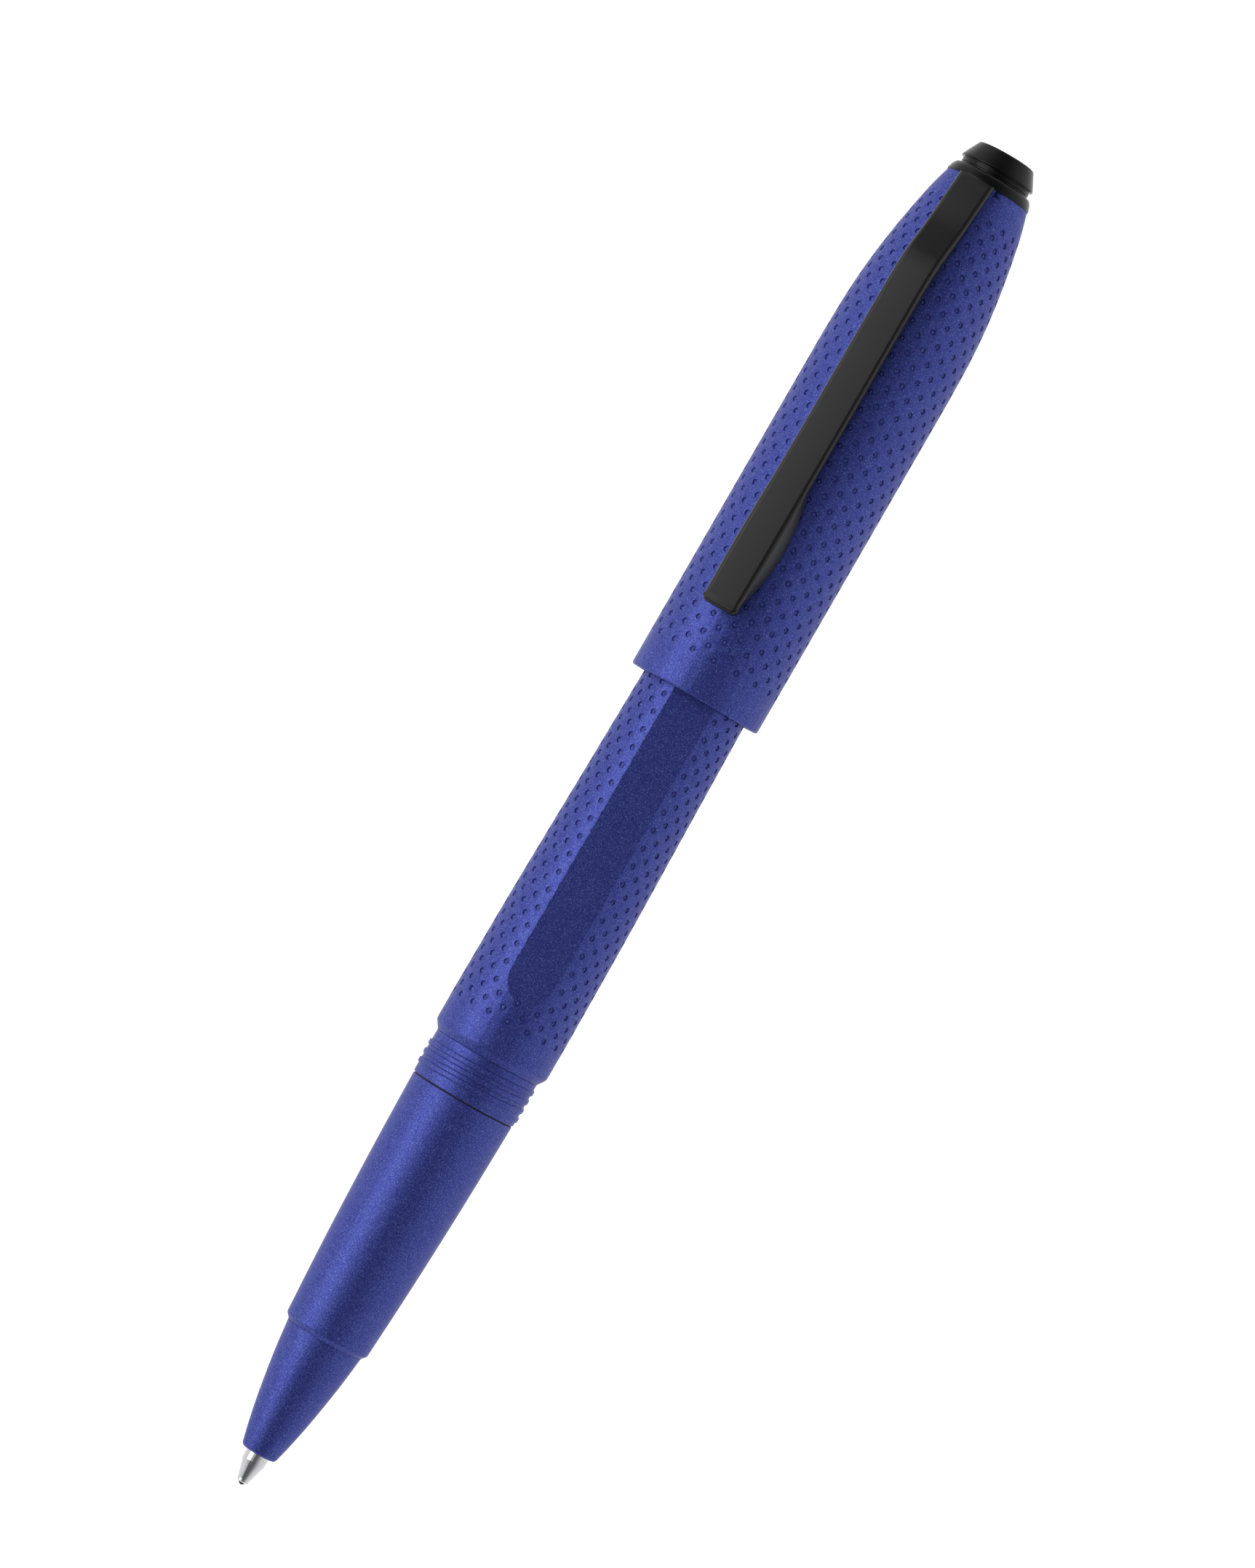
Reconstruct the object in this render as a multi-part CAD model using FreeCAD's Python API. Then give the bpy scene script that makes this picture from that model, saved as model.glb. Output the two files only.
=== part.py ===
"""Rollerball pen, open for writing, with its cap posted on the tail of the barrel.

The pen lies along X: the ball is at the -X end, the finial at the +X end and the clip on top (+Z).
All the pieces are drawn about the X axis, with stations in millimetres measured from the ball,
and are then moved so that the origin is under the middle of the pen, on the surface it lies on.
"""
import FreeCAD, Part
import math
import os

os.makedirs("parts", exist_ok=True)
V = FreeCAD.Vector

# ---- driving dimensions, millimetres -------------------------------------------------------
LENGTH = 149.75            # ball to finial, cap posted
CAP_R = 7.03               # straight part of the cap, also the height of the axis
CAP_BORE_R = 6.05
MOUTH_X = 88.63            # the cap's open end
SHELL_TOP_X = 145.9        # the cap's closed end, under the collar
COLLAR_TOP_X = 147.05
BUTTON_X = 147.75

BARREL_X = 48.2            # where the barrel's shell starts, at its shoulder
BARREL_R = 6.176
TAIL_X = 124.6             # end of the barrel, inside the cap
FLAT_DEPTH = 0.47
FLAT_FRONT_X = 57.3
FLAT_BACK_X = 107.0
FLAT_RUNOUT = 2.8
FLAT_TURNS = (16.5, 136.5, 256.5)   # degrees from the clip, towards -Y
O_RING_X = 115.0
O_RING_WIRE = 1.05

THREAD_R = 5.57            # core of the outside thread that takes the cap
THREAD_CREST = 0.16
THREAD_PITCH = 1.0
THREAD_TURNS = 3.25
SEAM_X = 43.43             # where the grip section meets the barrel
SEAL = 0.12
TENON_R = 4.2
TENON_PITCH = 0.75

SHANK_R = 1.225            # steel point of the refill
REFILL_R = 3.0
REFILL_X = 13.5            # shoulder where the refill's tube starts
REFILL_END = 110.0
BALL_R = 0.35
RUNNING = 0.06             # radial clearance of a running fit

CLIP_WIDTH = 3.8
CLIP_FREE_X = 97.55
CLIP_ROOT_X = 145.9


# ---- helpers -------------------------------------------------------------------------------
def outline_face(path, y=0.0):
    """Closed face in the XZ plane. A (station, height) pair is a corner, and a list of pairs
    is a smooth run through them."""
    edges = []
    ends = []
    for item in path:
        run = item if isinstance(item, list) else [item]
        points = [V(x, y, z) for x, z in run]
        if ends and ends[-1].distanceToPoint(points[0]) > 1e-6:
            edges.append(Part.makeLine(ends[-1], points[0]))
        if len(points) > 1:
            curve = Part.BSplineCurve()
            curve.interpolate(points)
            edges.append(curve.toShape())
        ends.append(points[-1])
        if len(ends) == 1:
            start = points[0]
    if ends[-1].distanceToPoint(start) > 1e-6:
        edges.append(Part.makeLine(ends[-1], start))
    return Part.Face(Part.Wire(edges))


def lathe(path):
    """Solid of revolution about X."""
    return outline_face(path).revolve(V(0, 0, 0), V(1, 0, 0), 360)


def tube(x0, x1, r_out, r_in=0.0):
    """Plain sleeve or rod between two stations."""
    solid = Part.makeCylinder(r_out, x1 - x0, V(x0, 0, 0), V(1, 0, 0))
    if r_in > 0:
        solid = solid.cut(Part.makeCylinder(r_in, x1 - x0 + 2, V(x0 - 1, 0, 0), V(1, 0, 0)))
    return solid


def coil(x0, turns, pitch, radius, section):
    """Right-hand helix about X. The section is a list of (along, radius) corners."""
    helix = Part.makeHelix(pitch, pitch * turns, radius)
    corners = [V(r, 0, a) for a, r in section]
    profile = Part.makePolygon(corners + [corners[0]])
    sweep = Part.Wire(helix.Edges).makePipeShell([profile], True, True)
    sweep.rotate(V(0, 0, 0), V(0, 1, 0), 90)
    sweep.translate(V(x0, 0, 0))
    return sweep


def side_plate(path, half_width):
    """Closed side outline in the XZ plane, stretched both ways along Y."""
    return outline_face(path, -half_width).extrude(V(0, 2 * half_width, 0))


def save(name, shape):
    """Move one piece into the pen's own frame and write it."""
    if shape.ShapeType == "Compound" and len(shape.Solids) == 1:
        shape = shape.Solids[0]
    shape = shape.removeSplitter()
    shape.translate(V(-LENGTH / 2, 0, CAP_R))
    box = shape.BoundBox
    print("%-16s solids %d valid %s volume %8.2f  x %.2f..%.2f  z %.2f..%.2f" % (
        name, len(shape.Solids), shape.isValid(), shape.Volume,
        box.XMin, box.XMax, box.ZMin, box.ZMax))
    shape.exportStep("parts/%s.step" % name)


# ---- refill --------------------------------------------------------------------------------
ball = Part.makeSphere(BALL_R, V(BALL_R, 0, 0))
socket = Part.makeSphere(BALL_R + 0.02, V(BALL_R, 0, 0))
tip = lathe([(0.28, 0), (0.28, 0.5), (0.40, 0.62), (0.64, 0.65), (2.6, SHANK_R),
             (9.0, SHANK_R), (9.0, 0)])
tip = tip.cut(socket).cut(tube(0.6, 9.5, 0.16))
save("refill_ball", ball)
save("refill_tip", tip)

tip_holder = lathe([(7.4, SHANK_R), (7.4, 1.9), (7.7, 2.05), (REFILL_X, 2.05), (REFILL_X, 2.6),
                    (20.0, 2.6), (20.0, 0.6), (9.0, 0.6), (9.0, SHANK_R)])
save("refill_tip_holder", tip_holder)
save("refill_wick", tube(9.0, 24.0, 0.6))
refill_tube = lathe([(REFILL_X, 2.6), (REFILL_X, 2.9), (REFILL_X + 0.1, REFILL_R),
                     (REFILL_END, REFILL_R), (REFILL_END, 2.6)])
save("refill_tube", refill_tube)
save("refill_ink", tube(20.0, 92.0, 2.6).cut(tube(19.0, 24.0, 0.6)))
save("refill_follower", tube(92.0, 96.0, 2.6))
refill_plug = lathe([(103.0, 0.5), (103.0, 2.6), (REFILL_END, 2.6), (REFILL_END, 0.5)])
save("refill_tail_plug", refill_plug)

# ---- grip section --------------------------------------------------------------------------
nose_outline = [(3.5, 1.35), [(3.5, 1.62), (3.58, 1.80), (3.85, 1.93)],
                [(3.85, 1.93), (5.69, 2.37), (8.53, 2.95), (12.79, 3.64), (16.45, 4.08)]]
nose_bore = [(21.0, 3.9), (21.0, 3.1), (REFILL_X, 3.1), (REFILL_X, 2.15), (7.3, 2.15),
             (7.3, 1.35)]
nose_cone = lathe(nose_outline + [(16.45, 3.9)] + nose_bore)
save("nose_cone", nose_cone)

grip_outline = [(17.06, 4.51), (22.74, 4.83), (28.43, 5.09), (35.54, 5.335), (43.33, 5.51)]
grip_section = lathe([(16.45, 3.9), (16.45, 4.06), (16.60, 4.12), (16.86, 4.40), grip_outline,
                      (SEAM_X, 5.42), (SEAM_X, TENON_R), (36.0, TENON_R), (36.0, 3.3),
                      (21.0, 3.3), (21.0, 3.9)])
save("grip_section", grip_section)

tenon = tube(36.0, 54.5, TENON_R, 3.3)
tenon = tenon.cut(tube(53.9, 55.0, 6.0, TENON_R - 0.3))
tenon_ridge = coil(45.2, 10, TENON_PITCH, TENON_R, [
    (-0.24, TENON_R - 0.08), (-0.08, TENON_R + 0.14), (0.08, TENON_R + 0.14),
    (0.24, TENON_R - 0.08)])
save("section_tenon", tenon.fuse(tenon_ridge))
save("section_seal", tube(SEAM_X, SEAM_X + SEAL, 5.38, TENON_R + RUNNING))

# ---- barrel --------------------------------------------------------------------------------
COLLAR_X = SEAM_X + SEAL
thread_collar = lathe([(COLLAR_X, 4.9), (COLLAR_X, 5.50), (COLLAR_X + 0.07, THREAD_R),
                       (BARREL_X, THREAD_R), (BARREL_X, 5.1), (58.0, 5.1), (58.0, 4.45),
                       (55.5, 4.45), (55.5, 4.9)])
ridge = coil(44.3, THREAD_TURNS, THREAD_PITCH, THREAD_R, [
    (-0.30, THREAD_R - 0.10), (-0.27, THREAD_R + 0.03), (-0.17, THREAD_R + THREAD_CREST),
    (0.17, THREAD_R + THREAD_CREST), (0.27, THREAD_R + 0.03), (0.30, THREAD_R - 0.10)])
ridge.rotate(V(0, 0, 0), V(1, 0, 0), -60)
save("thread_collar", thread_collar.fuse(ridge))
save("barrel_bush", tube(COLLAR_X + 0.3, 55.5, 4.9, TENON_R + 0.14 + RUNNING))

barrel_outline = [(49.0, 6.15), (49.3, BARREL_R)]
taper = [(53.0, BARREL_R), (64.0, 6.07), (78.2, 5.80), (88.4, 5.61), (104.0, 5.28),
         (113.9, 5.09)]
groove_r = 4.5
groove_x0 = O_RING_X - O_RING_WIRE / 2 - 0.03
groove_x1 = O_RING_X + O_RING_WIRE / 2 + 0.03
barrel_shell = lathe([(BARREL_X, 5.1), (BARREL_X, THREAD_R)] + barrel_outline + [taper,
                     (groove_x0, 5.09), (groove_x0, groove_r), (groove_x1, groove_r),
                     (groove_x1, 5.04), (122.6, 4.85),
                     [(123.8, 4.72), (124.35, 4.5), (TAIL_X, 4.2)],
                     (TAIL_X, 3.8), (60.0, 3.8), (60.0, 4.45), (58.0, 4.45), (58.0, 5.1)])
flat_floor = [(x, r - FLAT_DEPTH) for x, r in taper if FLAT_FRONT_X < x < FLAT_BACK_X]
front_floor_r = 6.15 - FLAT_DEPTH
back_floor_r = 5.21 - FLAT_DEPTH
front_arc = []
back_arc = []
for step in range(6):
    part = step / 5.0
    rise = part * part * (FLAT_DEPTH + 0.12)
    front_arc.insert(0, (FLAT_FRONT_X - part * (FLAT_RUNOUT + 0.35), front_floor_r + rise))
    back_arc.append((FLAT_BACK_X + part * (FLAT_RUNOUT + 0.35), back_floor_r + rise))
flat_cutter = side_plate([(front_arc[0][0], 9.0), front_arc,
                          [front_arc[-1]] + flat_floor + [back_arc[0]], back_arc,
                          (back_arc[-1][0], 9.0)], 5.0)
for turn in FLAT_TURNS:
    cutter = flat_cutter.copy()
    cutter.rotate(V(0, 0, 0), V(1, 0, 0), turn)
    barrel_shell = barrel_shell.cut(cutter)
save("barrel_shell", barrel_shell)

end_plug = lathe([(121.0, 0), (121.0, 3.8), (TAIL_X, 3.8), (125.0, 3.4), (125.0, 0)])
save("barrel_end_plug", end_plug)
spring_guide = tube(117.0, 121.0, 1.2)
save("spring_guide", spring_guide)

wire = [(0.25 * math.cos(a), 2.2 + 0.25 * math.sin(a))
        for a in [math.pi * k / 4 for k in range(8)]]
spring = coil(110.8, 6, 1.5, 2.2, wire)
save("refill_spring", spring)

# ---- posting ring --------------------------------------------------------------------------
o_ring = Part.makeTorus(4.53 + O_RING_WIRE / 2, O_RING_WIRE / 2, V(O_RING_X, 0, 0), V(1, 0, 0))
save("posting_ring", o_ring)

# ---- cap -----------------------------------------------------------------------------------
cap_curve = [(126.0, CAP_R), (130.8, 6.91), (135.0, 6.565), (139.3, 5.935), (143.6, 5.09),
             (SHELL_TOP_X, 4.46)]
inner_curve = [(126.0, CAP_BORE_R), (132.2, 5.80), (138.0, 5.15), (144.4, 3.85)]
cap_shell = lathe([(MOUTH_X, 6.2), (MOUTH_X, 6.83), [(MOUTH_X, 6.83), (88.70, 6.96),
                   (88.85, CAP_R)], (126.0, CAP_R), cap_curve, (SHELL_TOP_X, 1.5),
                   (144.4, 1.5), (144.4, 3.85), list(reversed(inner_curve)),
                   (88.80, CAP_BORE_R)])
notch = Part.makeBox(1.0, 0.55, 2.0, V(SHELL_TOP_X - 0.7, -CLIP_WIDTH / 2 - 0.5, 3.5))
cap_shell = cap_shell.cut(notch)
save("cap_shell", cap_shell)

cap_bush = lathe([(89.3, CAP_BORE_R), (89.3, 5.95), (89.5, 5.78), (99.0, 5.78),
                  (99.0, CAP_BORE_R)])
inner_ridge = coil(91.0, 3, THREAD_PITCH, 5.78, [
    (-0.14, 5.88), (-0.08, 5.66), (0.08, 5.66), (0.14, 5.88)])
save("cap_bush", cap_bush.fuse(inner_ridge))

inner_cap = lathe([(112.0, 5.62), (112.0, CAP_BORE_R), (126.0, CAP_BORE_R), (127.2, 6.0),
                   (127.4, 4.8), (136.5, 4.6), (140.6, 3.8), (141.6, 3.0), (141.6, 1.5),
                   (140.6, 1.5), (140.2, 3.1), (136.0, 3.9), (126.4, 4.1), (126.0, 5.62)])
save("inner_cap", inner_cap)

clip_collar = lathe([(SHELL_TOP_X, 1.5), (SHELL_TOP_X, 4.50), (146.02, 4.52),
                     [(146.02, 4.52), (146.5, 4.38), (146.85, 4.2), (COLLAR_TOP_X, 3.95)],
                     (COLLAR_TOP_X, 1.5)])
save("clip_collar", clip_collar)

neck_ring = lathe([(COLLAR_TOP_X, 1.5), (COLLAR_TOP_X, 3.5), (147.25, 3.5), (147.25, 3.66),
                   (147.30, 3.70), (147.60, 3.70), (147.64, 3.62), (BUTTON_X, 3.62),
                   (BUTTON_X, 1.5)])
save("neck_ring", neck_ring)

button = lathe([(140.6, 0), (140.6, 1.5), (BUTTON_X, 1.5), (BUTTON_X, 3.84),
                (147.83, 3.94), (147.98, 3.91), (149.55, 3.10),
                [(149.55, 3.10), (149.69, 2.99), (LENGTH, 2.8)], (LENGTH, 0)])
save("finial_button", button)
save("finial_nut", tube(142.2, 144.4, 3.0, 1.5))

# ---- clip ----------------------------------------------------------------------------------
top_line = [(CLIP_ROOT_X, 5.50), (143.6, 6.10), (140.4, 6.92), (138.4, 7.68), (136.6, 8.35),
            (134.4, 8.72), (130.0, 8.80)]
under_line = [(130.0, 7.46), (134.0, 7.28), (137.0, 6.72), (140.4, 5.88), (143.6, 5.22),
              (CLIP_ROOT_X, 4.62)]
foot_line = [(99.0, 8.05), (100.2, 7.55), (102.0, 7.20), (104.6, 7.08), (107.0, 7.20),
             (109.2, 7.52), (110.6, 7.72)]
clip = side_plate([(CLIP_ROOT_X, 4.62), top_line, (116.6, 8.83), (CLIP_FREE_X + 0.15, 9.35),
                   (CLIP_FREE_X, 9.20), (CLIP_FREE_X, 8.15), (CLIP_FREE_X + 0.15, 8.02),
                   foot_line, under_line], CLIP_WIDTH / 2)
top_edges = [e for e in clip.Edges
             if abs(abs(e.CenterOfMass.y) - CLIP_WIDTH / 2) < 1e-6
             and e.CenterOfMass.z > 6.6 and e.Length > 8]
top_edges = [e for e in top_edges if e.CenterOfMass.z > 7.9]
print("clip edges to soften:", len(top_edges))
try:
    soft = clip.makeFillet(0.35, top_edges)
    if soft.isValid() and len(soft.Solids) == 1:
        clip = soft
except Exception as fault:
    print("clip edges stay sharp:", fault)
save("clip", clip)
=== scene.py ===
# %% [markdown]
# # A rollerball pen, cap posted
# The pen is a small lathe job: nearly every piece is round about one axis, and what makes it this
# pen and no other is the fine work on those round pieces: a field of tiny pits, long flats, a
# raised thread and a sprung clip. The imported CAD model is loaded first. It fixes where each piece
# is and how it moves, and the lesson below dresses it.

# %% Load the frame
import bpy
import math
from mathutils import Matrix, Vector


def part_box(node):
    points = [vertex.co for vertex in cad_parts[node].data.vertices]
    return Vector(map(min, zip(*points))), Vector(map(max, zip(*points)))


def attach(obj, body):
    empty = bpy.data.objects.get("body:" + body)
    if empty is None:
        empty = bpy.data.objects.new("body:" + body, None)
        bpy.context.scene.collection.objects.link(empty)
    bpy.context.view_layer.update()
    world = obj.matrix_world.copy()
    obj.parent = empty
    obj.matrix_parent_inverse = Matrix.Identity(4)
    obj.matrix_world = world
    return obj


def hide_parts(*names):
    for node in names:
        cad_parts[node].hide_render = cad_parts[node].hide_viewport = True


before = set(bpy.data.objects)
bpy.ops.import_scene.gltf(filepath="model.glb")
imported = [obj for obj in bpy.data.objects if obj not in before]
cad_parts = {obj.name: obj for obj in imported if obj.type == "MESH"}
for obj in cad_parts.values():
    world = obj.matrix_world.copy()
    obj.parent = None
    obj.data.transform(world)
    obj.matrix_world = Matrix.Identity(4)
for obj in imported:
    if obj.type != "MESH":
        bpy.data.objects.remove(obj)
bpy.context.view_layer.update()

# %% [markdown]
# ## Measures
# A maker of pens measures from the writing ball along the axis, so every piece here is given as
# stations along the axis and radii from it, in millimetres. Two numbers from the CAD model turn
# them into places: where the ball starts, and how high the axis is.

# %% Measures
MM = 0.001
ball_low, ball_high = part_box("refill_ball")
BALL_X = ball_low.x
AXIS_Z = (ball_low.z + ball_high.z) / 2
AXIS = Vector((1, 0, 0))
TILT = -16.4            # degrees from the clip round to the middle of a barrel flat, towards -Y


def spot(station, side=0.0, height=0.0):
    """A point given by its station and its distances from the axis, in metres."""
    return Vector((BALL_X + station * MM, side * MM, AXIS_Z + height * MM))


print("ball at", round(BALL_X, 5), "axis height", round(AXIS_Z, 5))

# %% [markdown]
# ## Habits for edit mode
# An operator works on whatever is selected, so each step starts by letting go of everything. The
# helpers below are the moves of a hand at the keyboard: take a piece, choose its open edges, take
# the shine of a curve but keep its corners.

# %% Helpers
def let_go():
    bpy.ops.object.select_all(action="DESELECT")


def take(piece):
    let_go()
    piece.select_set(True)
    bpy.context.view_layer.objects.active = piece


def settle(piece):
    """Put the object's origin, turn and size into its mesh."""
    take(piece)
    bpy.ops.object.transform_apply(location=True, rotation=True, scale=True)


def open_edges():
    """Choose the rims of every hole in the mesh being edited."""
    bpy.ops.mesh.select_all(action="DESELECT")
    bpy.ops.mesh.select_mode(type="EDGE")
    bpy.ops.mesh.select_non_manifold()


def face_out():
    bpy.ops.mesh.select_all(action="SELECT")
    bpy.ops.mesh.normals_make_consistent(inside=False)


def smooth(piece, degrees=28):
    take(piece)
    bpy.ops.object.shade_smooth_by_angle(angle=math.radians(degrees))


def steady(piece):
    """Let large faces decide the shading, so that small ones beside them don't bend it."""
    take(piece)
    normals = piece.modifiers.new("steady", "WEIGHTED_NORMAL")
    normals.keep_sharp = True
    bpy.ops.object.modifier_apply(modifier="steady")


def choose(piece, kind, test):
    """Select the faces or edges of a piece that pass a test, in edit mode."""
    take(piece)
    bpy.ops.object.mode_set(mode="EDIT")
    bpy.ops.mesh.select_all(action="DESELECT")
    bpy.ops.mesh.select_mode(type=kind)
    bpy.ops.object.mode_set(mode="OBJECT")
    mesh = piece.data
    for part in (mesh.polygons if kind == "FACE" else mesh.edges):
        part.select = test(part) if kind == "FACE" else test(
            *(mesh.vertices[index].co for index in part.vertices))
    bpy.ops.object.mode_set(mode="EDIT")


def height_on(line, station):
    """The height of a line of (station, height) pairs at one station."""
    for (x0, h0), (x1, h1) in zip(line, line[1:]):
        if station <= x1:
            break
    return h0 + (h1 - h0) * (station - x0) / (x1 - x0)


def run_through(points, steps=6):
    """A smooth run through a few (station, radius) pairs, as many short steps."""
    slopes = []
    for i, (x, r) in enumerate(points):
        before = points[max(i - 1, 0)]
        after = points[min(i + 1, len(points) - 1)]
        slopes.append((after[1] - before[1]) / (after[0] - before[0]))
    run = [points[0]]
    for (x0, r0), (x1, r1), s0, s1 in zip(points, points[1:], slopes, slopes[1:]):
        width = x1 - x0
        for step in range(1, steps + 1):
            t = step / steps
            bend = (t ** 3 - 2 * t ** 2 + t) * s0 + (t ** 3 - t ** 2) * s1
            rise = (2 * t ** 3 - 3 * t ** 2 + 1) * r0 + (3 * t ** 2 - 2 * t ** 3) * r1
            run.append((x0 + t * width, rise + bend * width))
    return run


# %% [markdown]
# ## Turning a piece
# On the real pen these pieces come off a lathe. Spinning a profile would do, but it leaves a seam
# to weld. Here a ring of points is extruded from station to station and opened or closed to each
# radius, so the mesh grows the way a potter draws up a wall, and it never has a seam.

# %% Turned pieces
def grow(outline):
    """Draw the selected ring up the outline, one ring of faces for each station."""
    for (x0, r0), (x1, r1) in zip(outline, outline[1:]):
        bpy.ops.mesh.extrude_region_move(
            TRANSFORM_OT_translate={"value": ((x1 - x0) * MM, 0, 0)})
        bpy.ops.transform.resize(value=(1, r1 / r0, r1 / r0), center_override=spot(x1))


def turned(name, outline, around=96, hollow=True):
    """A tube whose wall comes back to its start, or a solid whose two ends are filled."""
    let_go()
    start_x, start_r = outline[0]
    bpy.ops.mesh.primitive_circle_add(vertices=around, radius=start_r * MM, location=spot(start_x),
                                      rotation=(0, math.pi / 2, 0))
    piece = bpy.context.object
    piece.name = name
    settle(piece)
    bpy.ops.object.mode_set(mode="EDIT")
    bpy.ops.mesh.select_all(action="SELECT")
    grow(outline)
    open_edges()
    if hollow:
        bpy.ops.mesh.bridge_edge_loops()
    else:
        bpy.ops.mesh.fill_holes(sides=0)
    face_out()
    bpy.ops.object.mode_set(mode="OBJECT")
    print(name, len(piece.data.polygons), "faces")
    return piece


# %% [markdown]
# ## Nose cone
# The nose is the slim convex cone that lets the steel point through. Its front edge is rolled
# over in a small radius, which catches a line of light, and its back is a tenon that plugs into
# the grip.

# %% Nose cone
nose_run = run_through([(3.85, 1.93), (5.69, 2.37), (8.53, 2.95), (12.79, 3.64), (16.45, 4.08)])
nose = turned("nose", [(7.3, 1.35), (3.62, 1.35), (3.5, 1.45), (3.5, 1.62), (3.53, 1.72),
                       (3.61, 1.82), (3.72, 1.88)] + nose_run
              + [(16.45, 3.9), (21.0, 3.9), (21.0, 3.1), (13.5, 3.1), (13.5, 2.15), (7.3, 2.15)])
smooth(nose)
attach(nose, "section")
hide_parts("nose_cone")

# %% [markdown]
# ## Grip section
# The grip swells gently from the little step behind the nose to the seam. The step is a soft
# rounded shoulder, so it gets several rings, and the seam's edge gets a fine chamfer.

# %% Grip section
grip_run = run_through([(17.06, 4.51), (22.74, 4.83), (28.43, 5.09), (35.54, 5.335), (43.33, 5.51)])
grip = turned("grip", [(21.0, 3.9), (16.47, 3.9), (16.47, 4.07), (16.56, 4.14), (16.68, 4.24),
                       (16.80, 4.36), (16.90, 4.44), (16.98, 4.49)] + grip_run
              + [(43.40, 5.48), (43.43, 5.42), (43.43, 4.2), (36.0, 4.2), (36.0, 3.3),
                 (21.0, 3.3)])
smooth(grip)
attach(grip, "section")
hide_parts("grip_section")

# %% [markdown]
# ## Thread collar
# The cap screws onto this collar when the pen is put away. The thread stands up from the collar as
# one rounded ridge that climbs like a spiral stair, so one small arch of points is drawn and the
# Screw modifier winds it. A narrow hem at each foot of the arch is darkened later as painted shade,
# for the crease where the ridge meets the collar. The ridge's two ends are drawn in to a point, as
# a cutter leaves them.

# %% Collar body
collar = turned("collar", [(43.55, 4.9), (43.55, 5.48), (43.58, 5.54), (43.63, 5.57), (45.2, 5.57),
                           (46.8, 5.57), (48.2, 5.57), (48.2, 5.1), (58.0, 5.1), (58.0, 4.45),
                           (55.5, 4.45), (55.5, 4.9)])
smooth(collar)

# %% Thread ridge
THREAD_PITCH = 1.0
THREAD_TURNS = 3.45
THREAD_STEPS = 72        # steps in one turn
THREAD_START = 44.02     # station of the arch's middle where the winding starts
THREAD_TWIST = 62.4      # degrees from the clip round to that start
THREAD_SHIFT = 0.16      # slid along at the end, so that the rings stand clear of the shoulder
RIDGE_FOOT = 5.50        # radius of the ridge's underside, sunk in the collar
RIDGE_SHADE_BELOW = 5.6          # below this radius the ridge's foot takes painted shade
RUN_OUT = 9              # steps over which each end thins
RIDGE_HALF = [(-0.37, RIDGE_FOOT), (-0.37, 5.578), (-0.30, 5.584), (-0.27, 5.66), (-0.22, 5.715),
              (-0.12, 5.732), (0.0, 5.735)]          # along the axis, and radius
RIDGE = (RIDGE_HALF + [(-along, reach) for along, reach in reversed(RIDGE_HALF[:-1])]
         + [(0, RIDGE_FOOT)])
let_go()
bpy.ops.mesh.primitive_circle_add(vertices=len(RIDGE), radius=0.285 * MM,
                                  location=spot(THREAD_START, 0, RIDGE_FOOT),
                                  rotation=(math.pi / 2, 0, 0))
ridge = bpy.context.object
ridge.name = "ridge"
settle(ridge)
for vertex, (along, reach) in zip(ridge.data.vertices, RIDGE):
    vertex.co = spot(THREAD_START + along, 0, reach)
screw = ridge.modifiers.new("thread", "SCREW")
axle = bpy.data.objects.new("axle", None)
bpy.context.scene.collection.objects.link(axle)
axle.location = spot(0)
screw.object = axle
screw.axis = "X"
screw.angle = math.radians(360 * THREAD_TURNS)
screw.screw_offset = THREAD_PITCH * THREAD_TURNS * MM
screw.use_object_screw_offset = False
screw.steps = int(THREAD_STEPS * THREAD_TURNS)
screw.render_steps = int(THREAD_STEPS * THREAD_TURNS)
take(ridge)
bpy.ops.object.modifier_apply(modifier="thread")
bpy.data.objects.remove(axle)
print("ridge", len(ridge.data.vertices), "points",
      [round(v, 5) for v in ridge.dimensions])

# %% [markdown]
# The wound ridge starts over the clip, so it is turned round the axis to where the cutter started.
# Both ends are thinned over a short arc so that they sink into the collar.

# %% Thread run-outs
RING = len(RIDGE)
last_step = len(ridge.data.vertices) // RING - 1
# Points at the ridge's foot get 1 in an attribute that the lacquer turns into painted shade.
foot_shade = ridge.data.attributes.new("recess_shade", "FLOAT", "POINT").data
core = RIDGE_FOOT * MM
for vertex in ridge.data.vertices:
    step = vertex.index // RING
    near_end = min(step, last_step - step) / RUN_OUT
    keep = min(1.0, 0.25 + 0.75 * near_end)
    side, height = vertex.co.y, vertex.co.z - AXIS_Z
    reach = math.hypot(side, height)
    foot_shade[vertex.index].value = 1.0 if reach < RIDGE_SHADE_BELOW * MM else 0.0
    lower = core + (reach - core) * keep
    vertex.co.y = side * lower / reach
    vertex.co.z = AXIS_Z + height * lower / reach
take(ridge)
bpy.ops.object.mode_set(mode="EDIT")
open_edges()
bpy.ops.mesh.fill_holes(sides=0)
face_out()
bpy.ops.mesh.select_all(action="SELECT")
bpy.ops.transform.rotate(value=-math.radians(THREAD_TWIST), orient_axis="X",
                         center_override=spot(0))
bpy.ops.transform.translate(value=(THREAD_SHIFT * MM, 0, 0))
bpy.ops.object.mode_set(mode="OBJECT")
smooth(ridge, 50)
for piece in (collar, ridge):
    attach(piece, "barrel")
    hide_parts("thread_collar")

# %% [markdown]
# ## One pit
# Cap and barrel carry the same pattern: small round pits in staggered rows, 36 columns round the
# pen. Each pit has a rim softened by the lacquer, a steep wall and a floor that rises in the
# middle. One cell of the pattern is drawn flat: a twelve-sided circle is pushed down ring by
# ring for the pit, and its outer edge is pulled out to the cell's rectangle, whose edge points
# meet those of its neighbours half a step up or down.

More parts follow.
